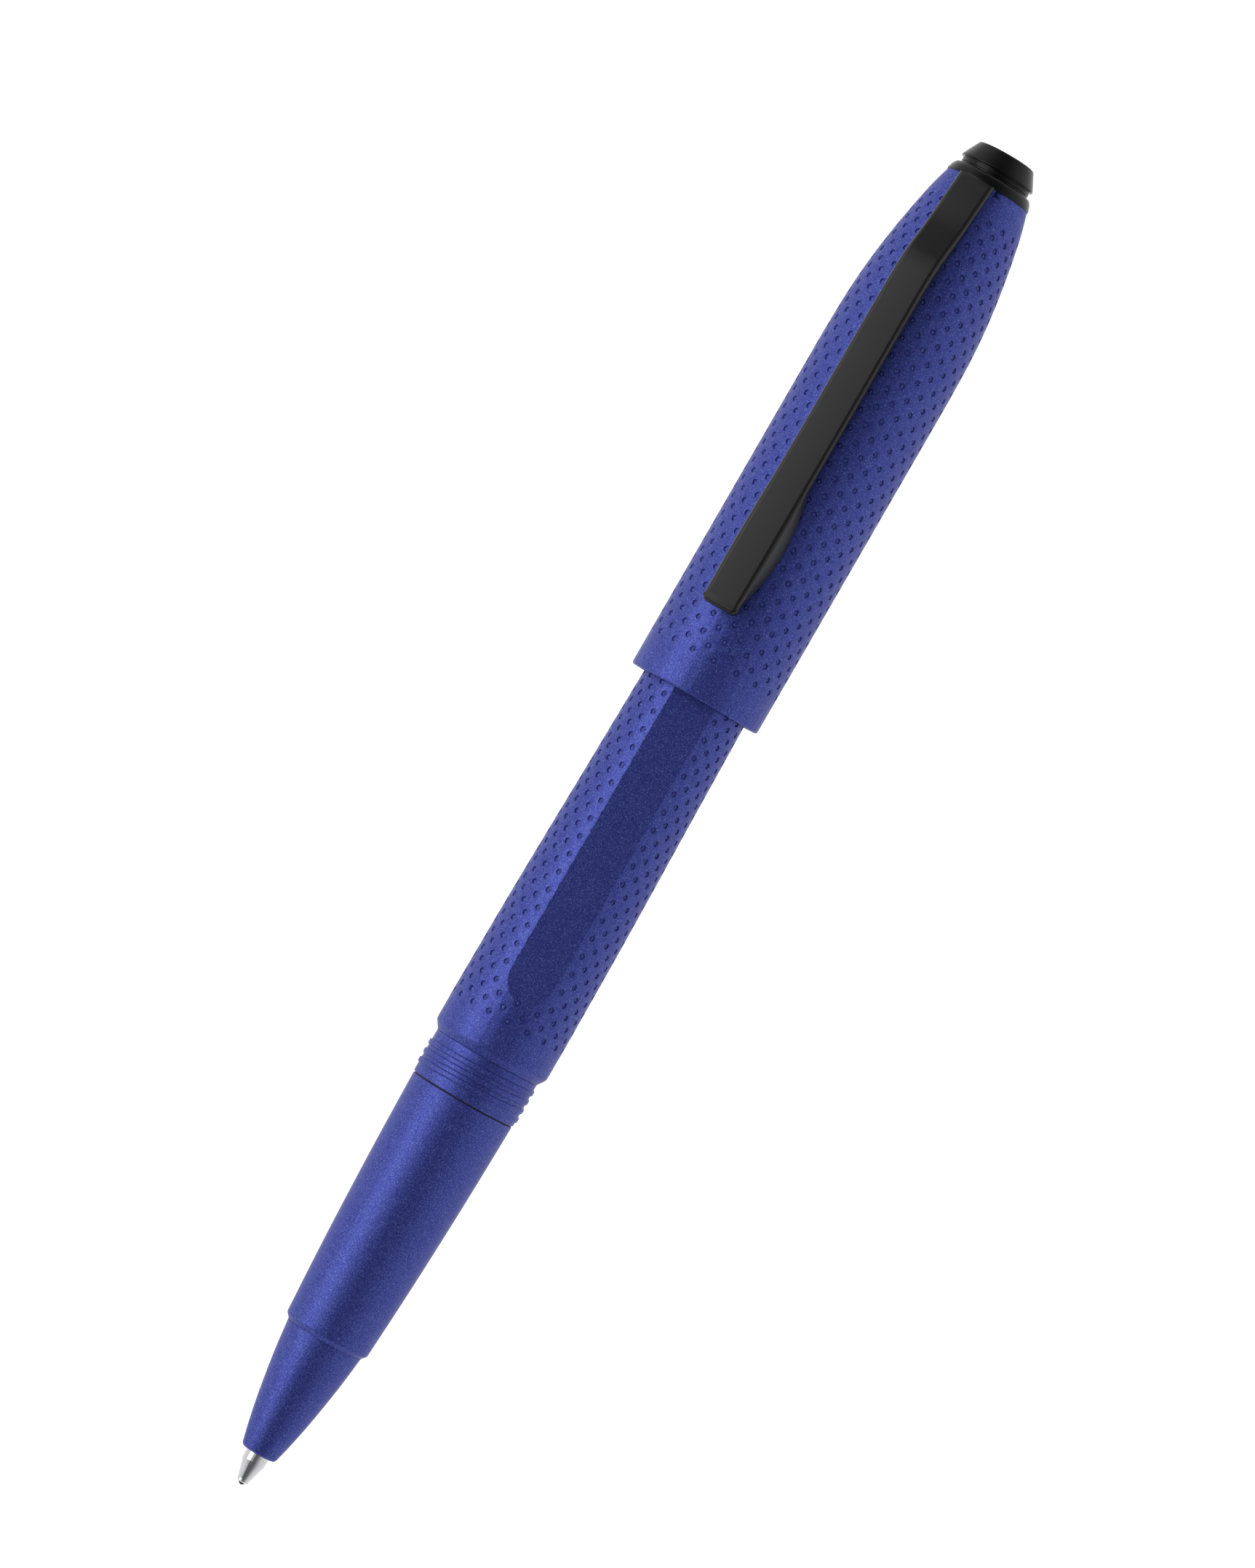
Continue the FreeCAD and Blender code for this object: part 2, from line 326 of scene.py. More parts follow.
# %% The pattern's measures
COLUMNS = 36
PITCH = 2.006            # from pit to pit along a column
COLUMN = 1.2             # width of a column while the pattern is flat
COLUMN_TURN = 360 / COLUMNS
MERGE = 0.01 * MM        # points nearer than this are one point
PIT_R = 0.40             # the outermost ring, still level with the ground
PIT_DEPTH = 0.13
PIT_RINGS = ((0.32, -0.02), (0.265, -PIT_DEPTH), (0.18, -PIT_DEPTH), (0.07, -0.04))
CELL_EDGE = ((1, 0), (1, 1), (0.5, 1), (0, 1), (-0.5, 1), (-1, 1),
             (-1, 0), (-1, -1), (-0.5, -1), (0, -1), (0.5, -1), (1, -1))


# %% One cell
def flat_cell():
    """One cell, flat in XY about the origin, with its pit down in -Z."""
    let_go()
    bpy.ops.mesh.primitive_circle_add(vertices=12, radius=PIT_R * MM, location=(0, 0, 0),
                                      rotation=(0, 0, -math.pi / 2))
    cell = bpy.context.object
    cell.name = "pit_cell"
    settle(cell)
    bpy.ops.object.mode_set(mode="EDIT")
    bpy.ops.mesh.select_mode(type="EDGE")
    bpy.ops.mesh.select_all(action="SELECT")
    radius, height = PIT_R, 0.0
    for ring_r, ring_height in PIT_RINGS:
        bpy.ops.mesh.extrude_edges_move(
            TRANSFORM_OT_translate={"value": (0, 0, (ring_height - height) * MM)})
        bpy.ops.transform.resize(value=(ring_r / radius, ring_r / radius, 1),
                                 center_override=(0, 0, 0))
        radius, height = ring_r, ring_height
    bpy.ops.mesh.edge_face_add()
    open_edges()
    bpy.ops.mesh.extrude_edges_move(TRANSFORM_OT_translate={"value": (0, 0, 0)})
    bpy.ops.transform.resize(value=(2, 2, 1), center_override=(0, 0, 0))
    bpy.ops.object.mode_set(mode="OBJECT")
    for vertex in cell.data.vertices:
        if vertex.co.xy.length > 1.5 * PIT_R * MM:
            turn = math.degrees(math.atan2(vertex.co.y, vertex.co.x))
            along, across = CELL_EDGE[round(turn / 30) % 12]
            vertex.co.x = along * PITCH / 2 * MM
            vertex.co.y = across * COLUMN / 2 * MM
    return cell


# %% [markdown]
# ## A sheet of pits
# The cell is repeated with Array modifiers, first to its staggered neighbour, then round the pen
# and then along it. Some cells stay blank, such as those on a flat, and their pits are dissolved.
# The sheet's two ends are cut straight, so that plain rings can be drawn on from there.

# %% Sheet of cells
def sheet_of_cells(name, rows, is_blank):
    """A flat sheet, 36 columns wide, whose row 0 of column 0 is at the origin."""
    sheet = flat_cell()
    sheet.name = name
    steps = (("neighbour", 2, (PITCH / 2, COLUMN)), ("round", COLUMNS // 2, (0, 2 * COLUMN)),
             ("along", rows, (PITCH, 0)))
    for title, count, (along, across) in steps:
        array = sheet.modifiers.new(title, "ARRAY")
        array.count = count
        array.use_relative_offset = False
        array.use_constant_offset = True
        array.constant_offset_displace = (along * MM, across * MM, 0)
        bpy.ops.object.modifier_apply(modifier=title)
    bpy.ops.object.mode_set(mode="EDIT")
    bpy.ops.mesh.select_all(action="SELECT")
    bpy.ops.transform.translate(value=(-PITCH * MM, 0, 0))
    bpy.ops.mesh.remove_doubles(threshold=MERGE)
    bpy.ops.mesh.select_all(action="DESELECT")
    bpy.ops.mesh.select_mode(type="FACE")
    bpy.ops.object.mode_set(mode="OBJECT")
    corners = sheet.data.vertices
    for face in sheet.data.polygons:
        column, row, away = nearest_pit(face.center)
        face.select = away < 0.96 * PIT_R * MM and is_blank(column, row)
        if face.select:
            for index in face.vertices:
                corners[index].co.z = 0
    bpy.ops.object.mode_set(mode="EDIT")
    bpy.ops.mesh.dissolve_faces()
    for along, normal in ((-0.5 * PITCH, -1), ((rows - 2.5) * PITCH, 1)):
        bpy.ops.mesh.select_all(action="SELECT")
        bpy.ops.mesh.bisect(plane_co=(along * MM, 0, 0), plane_no=(normal, 0, 0),
                            clear_outer=True)
    bpy.ops.object.mode_set(mode="OBJECT")
    print(name, "flat sheet:", len(sheet.data.polygons), "faces")
    return sheet


def nearest_pit(point):
    """Column, row and distance of the pit nearest to a point of the flat sheet."""
    column = round(point.y / (COLUMN * MM))
    shift = 0.5 * (column % 2)
    row = round(point.x / (PITCH * MM) - shift)
    away = math.hypot(point.x - (row + shift) * PITCH * MM, point.y - column * COLUMN * MM)
    return column, row, away


# %% [markdown]
# ## Wrapping the sheet
# The sheet is laid round the pen like a label. Going up the sheet is going along the outline of
# the piece, and going across it is going round the axis. A pit keeps its true size where the pen
# gets thinner, and only the plain ground between pits is squeezed.

# %% Wrapping
def walk(outline):
    """The outline with the distance walked along it: (distance, station, radius)."""
    path = [(0.0,) + outline[0]]
    for (x0, r0), (x1, r1) in zip(outline, outline[1:]):
        path.append((path[-1][0] + math.hypot(x1 - x0, r1 - r0), x1, r1))
    return path


def place_on(path, distance):
    """Station, radius and slope at a distance along the walked outline."""
    for (d0, x0, r0), (d1, x1, r1) in zip(path, path[1:]):
        if distance <= d1:
            break
    t = (distance - d0) / (d1 - d0)
    lean = math.atan2(r1 - r0, x1 - x0)
    return x0 + t * (x1 - x0), r0 + t * (r1 - r0), lean


def wrap(sheet, outline, start, first_column):
    """Lay a flat sheet on the outline. Its row 0 goes to the start station."""
    path = walk(outline)
    offset = next(d0 + start - x0 for (d0, x0, r0), (d1, x1, r1) in zip(path, path[1:])
                  if x1 > start)
    recess_shade = sheet.data.attributes.new("recess_shade", "FLOAT", "POINT").data
    places = {}
    for vertex in sheet.data.vertices:
        column, row, away = nearest_pit(vertex.co)
        step = round(vertex.co.x / MM, 4)
        if step not in places:
            places[step] = place_on(path, offset + step)
        station, radius, lean = places[step]
        lift = vertex.co.z / MM
        # The deeper a point lies in a pit, the more of the attribute it gets, and the lacquer
        # darkens it by that: painted shade in the pits.
        recess_shade[vertex.index].value = min(1.0, -lift / PIT_DEPTH)
        if away < 1.1 * PIT_R * MM:
            angle = math.radians(first_column + COLUMN_TURN * column)
            angle += (vertex.co.y / MM - column * COLUMN) / radius
        else:
            angle = math.radians(first_column + COLUMN_TURN * vertex.co.y / (COLUMN * MM))
        reach = radius + lift * math.cos(lean)
        vertex.co = spot(station - lift * math.sin(lean), math.sin(angle) * reach,
                         math.cos(angle) * reach)
    take(sheet)
    bpy.ops.object.mode_set(mode="EDIT")
    bpy.ops.mesh.select_all(action="SELECT")
    bpy.ops.mesh.remove_doubles(threshold=MERGE)
    bpy.ops.object.mode_set(mode="OBJECT")
    low = place_on(path, offset - 0.5 * PITCH)
    return low, path, offset


def grow_from(piece, station, outline):
    """Choose the open rim that lies at a station and draw it along the outline."""
    take(piece)
    bpy.ops.object.mode_set(mode="EDIT")
    open_edges()
    bpy.ops.object.mode_set(mode="OBJECT")
    mesh = piece.data
    rim = [edge.index for edge in mesh.edges if edge.select
           and abs(mesh.vertices[edge.vertices[0]].co.x - spot(station).x) < 0.2 * MM]
    bpy.ops.object.mode_set(mode="EDIT")
    bpy.ops.mesh.select_all(action="DESELECT")
    bpy.ops.object.mode_set(mode="OBJECT")
    for index in rim:
        mesh.edges[index].select = True
    bpy.ops.object.mode_set(mode="EDIT")
    grow(outline)
    bpy.ops.object.mode_set(mode="OBJECT")
    print(piece.name, "rim of", len(rim), "edges grown from", round(station, 2))


def close_up(piece):
    """Join the last two open rims and turn every face outwards."""
    take(piece)
    bpy.ops.object.mode_set(mode="EDIT")
    open_edges()
    bpy.ops.mesh.bridge_edge_loops()
    face_out()
    bpy.ops.object.mode_set(mode="OBJECT")
    print(piece.name, len(piece.data.polygons), "faces")


def cut_away(piece, tool):
    """Cut one closed piece with another, which is then thrown away."""
    take(piece)
    cut = piece.modifiers.new("cut", "BOOLEAN")
    cut.operation = "DIFFERENCE"
    cut.solver = "EXACT"
    cut.object = tool
    bpy.ops.object.modifier_apply(modifier="cut")
    bpy.data.objects.remove(tool)


# %% [markdown]
# ## Cap shell
# The cap is straight for two thirds of its length and then closes in a long ogive under the clip
# collar. The clip stands midway between two columns of pits. A plain band is left at the mouth,
# whose edge is rolled over, and the wall carries on inside as the bore.

# %% Cap shell
cap_curve = run_through([(126.0, 7.03), (130.8, 6.91), (135.0, 6.565), (139.3, 5.935),
                         (143.6, 5.09), (145.9, 4.46)], 10)
cap_outline = [(88.85, 7.03)] + cap_curve
CAP_START = 92.66        # station of the pattern's row 0
CAP_TURN = 5.0           # degrees from the clip to column 0, half a column
CAP_ROWS = 28


def cap_blank(column, row):
    return row < 0 or row > 25 or (row > 24 and column % 2 == 1)


cap = sheet_of_cells("cap", CAP_ROWS, cap_blank)
cap_low, cap_path, cap_offset = wrap(cap, cap_outline, CAP_START, CAP_TURN)
top = place_on(cap_path, cap_offset + (CAP_ROWS - 2.5) * PITCH)
print("cap pattern from", round(cap_low[0], 2), "to", round(top[0], 2))
grow_from(cap, cap_low[0], [cap_low[:2], (90.3, 7.03), (88.95, 7.03), (88.80, 7.005),
                            (88.70, 6.95), (88.645, 6.87), (88.63, 6.78), (88.63, 6.2),
                            (88.80, 6.05), (99.0, 6.05), (112.0, 6.05)])
end_run = [p for p in cap_curve if p[0] > top[0] + 0.05]
grow_from(cap, top[0], [top[:2]] + end_run
          + [(145.9, 1.5), (144.4, 1.5), (144.4, 3.85), (138.0, 5.15), (132.2, 5.80),
             (126.0, 6.05)])
close_up(cap)

# %% The notch beside the clip
let_go()
bpy.ops.mesh.primitive_cube_add(size=1, location=spot(145.9, -2.27, 4.5))
notch = bpy.context.object
notch.scale = (1.4 * MM, 0.76 * MM, 2.0 * MM)
settle(notch)
cut_away(cap, notch)
smooth(cap, 48)
steady(cap)
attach(cap, "cap")
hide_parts("cap_shell")

# %% [markdown]
# ## Barrel shell
# The barrel swells at its shoulder and thins towards the tail. Three long flats are milled along
# it, and the cutter is lifted out at each end, which leaves a rounded end like that of a
# fingernail. The pattern leaves the flats plain.

# %% Barrel shell
barrel_run = run_through([(53.0, 6.176), (64.0, 6.07), (78.2, 5.80), (88.4, 5.61), (104.0, 5.28),
                          (113.9, 5.09)], 8)
barrel_outline = [(49.3, 6.176)] + barrel_run
BARREL_START = 52.42     # station of the pattern's row 0
BARREL_ROWS = 30


def barrel_blank(column, row):
    on_flat = (column + 2) % 12 <= 4
    shift = 0.5 * (column % 2)
    return row < 0 or row + shift > 27.2 or (on_flat and row + shift > 1.2)


barrel = sheet_of_cells("barrel", BARREL_ROWS, barrel_blank)
low, barrel_path, barrel_offset = wrap(barrel, barrel_outline, BARREL_START, TILT)
top = place_on(barrel_path, barrel_offset + (BARREL_ROWS - 2.5) * PITCH)
print("barrel pattern from", round(low[0], 2), "to", round(top[0], 2))
grow_from(barrel, low[0], [low[:2], (49.45, 6.176), (49.25, 6.168), (49.08, 6.14),
                           (48.96, 6.08), (48.34, 5.66), (48.24, 5.59), (48.20, 5.50),
                           (48.20, 5.1), (58.0, 5.1), (58.0, 4.45), (60.0, 4.45),
                           (60.0, 3.8), (80.0, 3.8)])
end_run = [p for p in barrel_run if p[0] > top[0] + 0.1]
grow_from(barrel, top[0], [top[:2]] + end_run
          + [(114.445, 5.09), (114.445, 4.5), (115.555, 4.5), (115.555, 5.04), (122.6, 4.85),
             (123.5, 4.78), (124.1, 4.64), (124.45, 4.44), (124.6, 4.2), (124.6, 3.8),
             (110.0, 3.8)])
close_up(barrel)

# %% Flats
FLAT_DEPTH = 0.47
FLAT_FRONT, FLAT_BACK = 57.3, 107.0     # stations where the cutter is at its full depth
LIFT_LENGTH, LIFT_RISE, LIFT_STEPS = 3.1, 0.6, 5


def flat_floor(station):
    """Radius of a flat's floor at a station on the pattern's part of the barrel."""
    return place_on(barrel_path, barrel_offset + station - BARREL_START)[1] - FLAT_DEPTH


front_r, back_r = flat_floor(FLAT_FRONT), flat_floor(FLAT_BACK)
lift_out = [(part / LIFT_STEPS * LIFT_LENGTH, (part / LIFT_STEPS) ** 2 * LIFT_RISE)
            for part in range(1, LIFT_STEPS + 1)]
floor_run = ([(FLAT_FRONT - x, front_r + rise) for x, rise in reversed(lift_out)]
             + [(FLAT_FRONT, front_r)]
             + [(x, r - FLAT_DEPTH) for x, r in barrel_run if FLAT_FRONT < x < FLAT_BACK]
             + [(FLAT_BACK, back_r)]
             + [(FLAT_BACK + x, back_r + rise) for x, rise in lift_out])


def flat_cutter(turn):
    """A block whose underside is the floor of a flat, turned to its place round the barrel."""
    let_go()
    x, floor = floor_run[0]
    bpy.ops.mesh.primitive_plane_add(size=12 * MM, location=spot(x - 6, 0, floor))
    block = bpy.context.object
    settle(block)
    choose(block, "EDGE", lambda a, b: max(a.x, b.x) < spot(x - 1).x)
    bpy.ops.mesh.select_mode(type="VERT")
    bpy.ops.mesh.delete(type="VERT")
    bpy.ops.mesh.select_all(action="SELECT")
    for (x0, r0), (x1, r1) in zip(floor_run, floor_run[1:]):
        bpy.ops.mesh.extrude_edges_move(
            TRANSFORM_OT_translate={"value": ((x1 - x0) * MM, 0, (r1 - r0) * MM)})
    bpy.ops.mesh.select_all(action="SELECT")
    bpy.ops.mesh.extrude_region_move(TRANSFORM_OT_translate={"value": (0, 0, 4 * MM)})
    face_out()
    bpy.ops.transform.rotate(value=math.radians(turn), orient_axis="X",
                             center_override=spot(0))
    bpy.ops.object.mode_set(mode="OBJECT")
    return block


def on_a_flat(face):
    """Whether a face lies on the floor of one of the three flats."""
    x = (face.center.x - BALL_X) / MM
    if not floor_run[0][0] < x < floor_run[-1][0]:
        return False
    around = math.atan2(face.center.y, face.center.z - AXIS_Z)
    off = (around - math.radians(TILT) + math.pi / 3) % (2 * math.pi / 3) - math.pi / 3
    reach = math.hypot(face.center.y, face.center.z - AXIS_Z) / MM
    return abs(reach * math.cos(off) - height_on(floor_run, x)) < 0.012


for third in range(3):
    cut_away(barrel, flat_cutter(TILT + 120 * third))
smooth(barrel, 48)
choose(barrel, "FACE", on_a_flat)
bpy.ops.mesh.region_to_loop()
bpy.ops.mesh.mark_sharp()
bpy.ops.object.mode_set(mode="OBJECT")
steady(barrel)
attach(barrel, "barrel")
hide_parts("barrel_shell")
print("barrel with three flats:", len(barrel.data.polygons), "faces")

# %% [markdown]
# ## Clip
# The clip is a flat sprung bar that leaves the cap's top in a sweeping S, runs along the pen a
# little way off it, and ends in a foot that presses on the cap. It is drawn as one bar: a small
# upright face is extruded from station to station and stretched to the height that the bar has
# there. A cut down its middle lets the foot be hollowed over the round cap, with both its lower
# edges drawn out and down like the belly of a boat. Only then are its edges rounded, the upper
# ones wide and soft, because a bevel made first would be stretched as well.

# %% Clip bar
CLIP_WIDTH = 3.8
CLIP_FREE_X = 97.25      # station of the free end
CLIP_ROOT_X = 145.9      # station of the root, held under the collar
BELLY_X, BELLY_HALF = 105.0, 6.6        # middle and half length of the foot's belly
BELLY_WIDER, BELLY_LOWER = 0.32, 0.36   # as a share of the half width, and in millimetres
clip_top = run_through([(CLIP_FREE_X, 9.35), (116.6, 8.83), (130.0, 8.80), (134.4, 8.72),
                        (136.6, 8.35), (138.4, 7.68), (140.4, 6.92), (143.6, 6.10),
                        (CLIP_ROOT_X, 5.50)], 5)
clip_under = run_through([(CLIP_FREE_X, 8.02), (98.8, 8.0), (100.2, 7.60), (102.2, 7.24),
                          (104.9, 7.12), (107.4, 7.24), (109.6, 7.54), (111.4, 7.70),
                          (116.0, 7.65), (130.0, 7.46), (134.0, 7.28), (137.0, 6.72),
                          (140.4, 5.88), (143.6, 5.22), (CLIP_ROOT_X, 4.62)], 3)

clip_stations = [CLIP_FREE_X]
for station in sorted(x for x, height in clip_top + clip_under):
    if station > clip_stations[-1] + 0.2:
        clip_stations.append(station)
clip_stations[-1] = CLIP_ROOT_X

let_go()
low, high = height_on(clip_under, CLIP_FREE_X), height_on(clip_top, CLIP_FREE_X)
bpy.ops.mesh.primitive_plane_add(size=1, location=spot(CLIP_FREE_X, 0, (low + high) / 2),
                                 rotation=(0, math.pi / 2, 0))
clip = bpy.context.object
clip.name = "clip_bar"
clip.scale = ((high - low) * MM, CLIP_WIDTH * MM, 1)
settle(clip)
bpy.ops.object.mode_set(mode="EDIT")
bpy.ops.mesh.select_all(action="SELECT")
for x0, x1 in zip(clip_stations, clip_stations[1:]):
    new_low, new_high = height_on(clip_under, x1), height_on(clip_top, x1)
    middle, new_middle = (low + high) / 2, (new_low + new_high) / 2
    bpy.ops.mesh.extrude_region_move(
        TRANSFORM_OT_translate={"value": ((x1 - x0) * MM, 0, (new_middle - middle) * MM)})
    bpy.ops.transform.resize(value=(1, 1, (new_high - new_low) / (high - low)),
                             center_override=spot(x1, 0, new_middle))
    low, high = new_low, new_high
bpy.ops.mesh.select_all(action="SELECT")
bpy.ops.mesh.bisect(plane_co=spot(0), plane_no=(0, 1, 0))
face_out()
bpy.ops.object.mode_set(mode="OBJECT")
for vertex in clip.data.vertices:
    station = (vertex.co.x - BALL_X) / MM
    height = (vertex.co.z - AXIS_Z) / MM
    belly = max(0.0, 1 - ((station - BELLY_X) / BELLY_HALF) ** 2) ** 1.3
    if abs(vertex.co.y) > 0.1 * MM and height < height_on(clip_under, station) + 0.01:
        vertex.co.y *= 1 + BELLY_WIDER * belly
        vertex.co.z -= BELLY_LOWER * belly * MM
print("clip bar:", len(clip_stations), "stations")


# %% Its edges
def at_free_end(a, b):
    return (max(a.x, b.x) < spot(CLIP_FREE_X + 0.05).x and abs(a.y - b.y) < 1e-6
            and abs(a.y) > 0.1 * MM)


choose(clip, "EDGE", at_free_end)
bpy.ops.mesh.bevel(offset=0.5 * MM, segments=4, affect="EDGES")
bpy.ops.object.mode_set(mode="OBJECT")
for side, width, steps in ((1, 0.44, 4), (-1, 0.14, 2)):
    choose(clip, "FACE", lambda face: face.normal.z * side > 0.35)
    bpy.ops.mesh.region_to_loop()
    bpy.ops.object.mode_set(mode="OBJECT")
    for edge in clip.data.edges:
        ends = [clip.data.vertices[index].co.x for index in edge.vertices]
        if min(ends) > spot(CLIP_ROOT_X - 0.1).x:
            edge.select = False
    bpy.ops.object.mode_set(mode="EDIT")
    bpy.ops.mesh.bevel(offset=width * MM, segments=steps, affect="EDGES")
    bpy.ops.object.mode_set(mode="OBJECT")
smooth(clip, 30)
steady(clip)
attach(clip, "clip")
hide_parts("clip")
print("clip:", len(clip.data.polygons), "faces")

# %% [markdown]
# ## Collar, neck ring and finial
# Three black pieces close the top: a collar that holds the clip's root down on the cap, a narrow
# ring in its shadow, and the finial, a button shaped like a short cone with a flat top. They are
# turned like the nose and the grip, with each small step and chamfer as stations of its own.

# %% Top pieces
collar_top = turned("top_collar", [(145.9, 1.5), (145.9, 4.0), (145.9, 4.50), (145.94, 4.52),
                                   (146.02, 4.525)]
                    + run_through([(146.10, 4.51), (146.5, 4.38), (146.85, 4.2),
                                   (147.0, 4.05), (147.05, 3.93)], 3)
                    + [(147.05, 3.6), (147.05, 1.5)])
neck = turned("neck", [(147.05, 1.5), (147.05, 3.5), (147.25, 3.5), (147.25, 3.66),
                       (147.27, 3.69), (147.30, 3.70), (147.60, 3.70), (147.63, 3.68),
                       (147.64, 3.62), (147.75, 3.62), (147.75, 1.5)])
button = turned("finial", [(140.6, 1.5), (147.75, 1.5), (147.75, 3.84), (147.77, 3.90),
                           (147.83, 3.94), (147.92, 3.94), (147.98, 3.91), (148.5, 3.65),
                           (149.55, 3.10), (149.64, 3.05), (149.70, 2.98), (149.735, 2.89),
                           (149.745, 2.78), (149.745, 1.0)], hollow=False)
for piece, node in ((collar_top, "clip_collar"), (neck, "neck_ring"), (button, "finial_button")):
    smooth(piece, 30)
    steady(piece)
    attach(piece, "cap")
    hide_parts(node)

# %% [markdown]
# ## Colours from nodes
# A finish is a little network of nodes, and sums written as nodes are hard to read. The class
# below wraps one output, so that a sum on it is written as a sum, and its node method adds any
# other node. Colours are given as the eye sees them, from 0 to 255, and turned to linear light.

# %% Signal
class Signal:
    """One output socket. Sums on it add Math nodes to its tree."""

    def __init__(self, tree, socket=None):
        self.tree = tree
        self.socket = socket

    def node(self, kind, settings=None, inputs=None, output=0):
        """Add a node: first its settings, then the values or links of its inputs."""
        made = self.tree.nodes.new(kind)
        for name, value in (settings or {}).items():
            setattr(made, name, value)
        for name, value in (inputs or {}).items():
            if isinstance(value, Signal):
                self.tree.links.new(value.socket, made.inputs[name])
            else:
                made.inputs[name].default_value = value
        return Signal(self.tree, made.outputs[output] if len(made.outputs) else None)

    def sum(self, operation, first, second):
        return self.node("ShaderNodeMath", {"operation": operation}, {0: first, 1: second})

    def __add__(self, other):
        return self.sum("ADD", self, other)

    def __radd__(self, other):
        return self.sum("ADD", other, self)

    def __sub__(self, other):
        return self.sum("SUBTRACT", self, other)

    def __rsub__(self, other):
        return self.sum("SUBTRACT", other, self)

    def __mul__(self, other):
        return self.sum("MULTIPLY", self, other)

    def __rmul__(self, other):
        return self.sum("MULTIPLY", other, self)

    def __pow__(self, other):
        return self.sum("POWER", self, other)

    def between(self, low, high):
        """This signal stretched so that low becomes 0 and high becomes 1, and kept there."""
        return self.node("ShaderNodeMapRange", {"clamp": True},
                         {"Value": self, "From Min": low, "From Max": high})

    def blend(self, first, second):
        """The first colour where this signal is 0 and the second where it is 1."""
        return self.node("ShaderNodeMix", {"data_type": "RGBA"},
                         {0: self, 6: first, 7: second}, output=2)


def linear(red, green, blue):
    """An eye colour as linear light with full opacity."""
    parts = []
    for value in (red, green, blue):
        value /= 255
        parts.append(value / 12.92 if value <= 0.04045 else ((value + 0.055) / 1.055) ** 2.4)
    return (*parts, 1.0)


def new_finish(name):
    """An empty material and the signal that adds to it."""
    material = bpy.data.materials.new(name)
    material.use_nodes = True
    material.node_tree.nodes.clear()
    return material, Signal(material.node_tree)


def close_finish(signal, fixed, varying):
    """End a finish with the shader and the output."""
    shader = signal.node("ShaderNodeBsdfPrincipled", None, {**fixed, **varying})
    signal.node("ShaderNodeOutputMaterial", None, {"Surface": shader})


print("linear mid grey", round(linear(128, 128, 128)[0], 3))

# %% [markdown]
# ## Blue lacquer
# The pen is brass under a metallic lacquer: fine aluminium flakes in a blue coat, and a clear coat
# over them. The flakes all lie nearly flat, so the colour is bright where light is thrown back and
# deep elsewhere, and each flake tips a little its own way, which gives a grain. A Voronoi texture
# gives each flake its own random value, which feeds colour and tilt, and a few of the flakes are
# lifted to the bright colour as painted glints. The pits and the foot of the thread ridge carry an
# attribute that darkens them towards a deep blue: this is painted shade for the hollows, where
# their walls keep the light out.

# %% Lacquer
def lacquer(name, deep, bright, flake_size=0.08):
    material, start = new_finish(name)
    place = start.node("ShaderNodeTexCoord", output="Object")
    flake = start.node("ShaderNodeTexVoronoi", None,
                       {"Vector": place, "Scale": 1 / (flake_size * MM)}, output="Color")
    tone = start.node("ShaderNodeSeparateColor", None, {"Color": flake}, output="Red")
    glint = start.node("ShaderNodeSeparateColor", None, {"Color": flake}, output="Green")
    cloud = start.node("ShaderNodeTexNoise", None,
                       {"Vector": place, "Scale": 1 / (1.6 * MM), "Detail": 3.0}, output="Fac")
    # A few flakes are lifted to the bright colour and made less metallic: painted glints.
    painted_glint = glint ** 7.0
    share = tone * 0.5 + cloud * 0.05 + painted_glint
    colour = share.between(0.02, 1.35).blend(deep, bright)
    # Painted shade: this attribute blends the pits and the thread's foot towards a deep blue.
    recess_shade = start.node("ShaderNodeAttribute", {"attribute_name": "recess_shade"}, output="Fac")
    colour = (recess_shade * 0.14).blend(colour, linear(14, 17, 66))
    lift = start.node("ShaderNodeBump", None,
                      {"Height": tone, "Strength": 0.3, "Distance": 0.01 * MM})
    close_finish(start, {"Coat Weight": 0.2, "Coat Roughness": 0.4, "Coat IOR": 1.5,
                         "IOR": 1.5, "Specular Tint": linear(150, 150, 180)},
                 {"Base Color": colour, "Metallic": 0.56 - painted_glint * 0.2,
                  "Roughness": 0.36 + cloud * 0.03, "Normal": lift})
    return material


blue = lacquer("blue_lacquer", linear(38, 45, 134), linear(98, 114, 188))
for piece in (cap, barrel, nose, grip, collar, ridge):
    piece.data.materials.clear()
    piece.data.materials.append(blue)
print("lacquered pieces: 6")

# %% [markdown]
# ## Black coat, metals and plastics
# The other finishes are made by one recipe with different numbers: a base colour that drifts a
# little, a roughness with fine grain, and a bump of a few micrometres.

# %% Other finishes
def plain_finish(name, colour, drift, roughness, metallic=0.0, grain=0.25, stretch=1.0,
                 bump=0.003, fixed=None):
    """A finish whose colour and roughness drift, with a grain that may be drawn out along X."""
    material, start = new_finish(name)
    place = start.node("ShaderNodeTexCoord", output="Object")
    drawn = start.node("ShaderNodeMapping", None,
                       {"Vector": place, "Scale": (1 / stretch, 1.0, 1.0)})
    fine = start.node("ShaderNodeTexNoise", None,
                      {"Vector": drawn, "Scale": 1 / (grain * MM), "Detail": 4.0}, output="Fac")
    wide = start.node("ShaderNodeTexNoise", None,
                      {"Vector": place, "Scale": 1 / (7 * MM), "Detail": 2.0}, output="Fac")
    share = (fine * 0.5 + wide * 0.5).between(0.25, 0.75)
    lift = start.node("ShaderNodeBump", None,
                      {"Height": fine, "Strength": 0.5, "Distance": bump * MM})
    close_finish(start, {"Metallic": metallic, **(fixed or {})},
                 {"Base Color": share.blend(linear(*colour), linear(*drift)),
                  "Roughness": roughness * 0.85 + fine * (roughness * 0.3), "Normal": lift})
    return material


